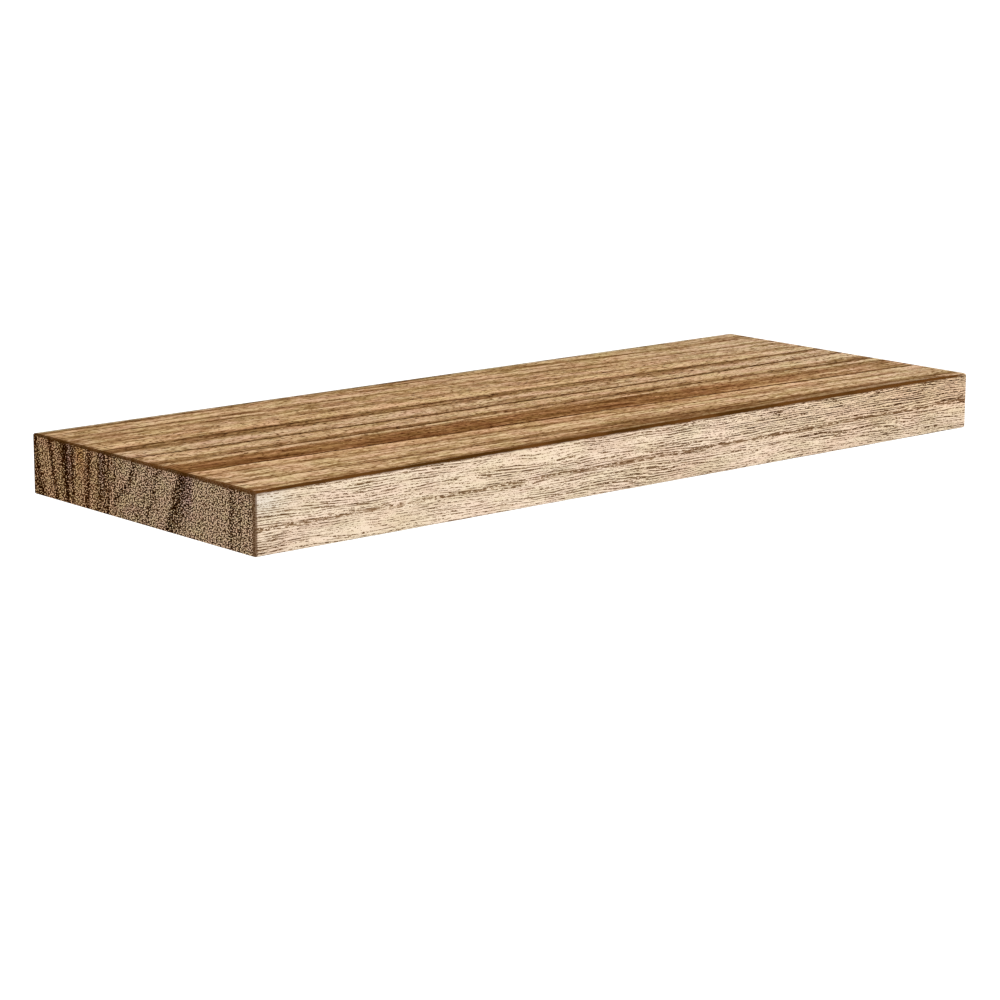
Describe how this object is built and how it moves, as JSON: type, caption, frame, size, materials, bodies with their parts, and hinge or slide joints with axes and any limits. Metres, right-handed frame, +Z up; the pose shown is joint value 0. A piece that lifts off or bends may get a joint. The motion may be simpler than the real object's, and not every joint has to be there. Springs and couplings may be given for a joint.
{
  "type": "floating wall shelf",
  "caption": "Thick solid-wood plank that slides onto hidden wall brackets and holds things on its flat top.",
  "frame": {"origin": "centre of the plank's back face, on the wall's surface", "axes": "+X along the shelf, to the right for someone who faces its front edge; +Y into the wall; +Z up"},
  "size_m": [0.6096, 0.2748, 0.0382],
  "materials": {
    "board_wood": "matt oiled, open grain",
    "plate_steel": "zinc plated",
    "rod_steel": "zinc plated",
    "weld_steel": "zinc plated over a weld bead",
    "screw_steel": "yellow zinc plated",
    "anchor_nylon": "moulded nylon"
  },
  "bodies": {
    "wall_brackets": {"left_bracket_plate": "plate_steel", "right_bracket_plate": "plate_steel", "left_rod": "rod_steel", "right_rod": "rod_steel", "left_weld": "weld_steel", "right_weld": "weld_steel", "left_outer_screw": "screw_steel", "left_inner_screw": "screw_steel", "right_inner_screw": "screw_steel", "right_outer_screw": "screw_steel", "left_outer_anchor": "anchor_nylon", "left_inner_anchor": "anchor_nylon", "right_inner_anchor": "anchor_nylon", "right_outer_anchor": "anchor_nylon"},
    "shelf_board": {"back_stave": "board_wood", "front_stave": "board_wood"}
  },
  "joints": [
    {"name": "board_slide", "type": "slide", "parent": "wall_brackets", "child": "shelf_board", "axis": [0, -1, 0], "range_m": [0, 0.13]}
  ]
}
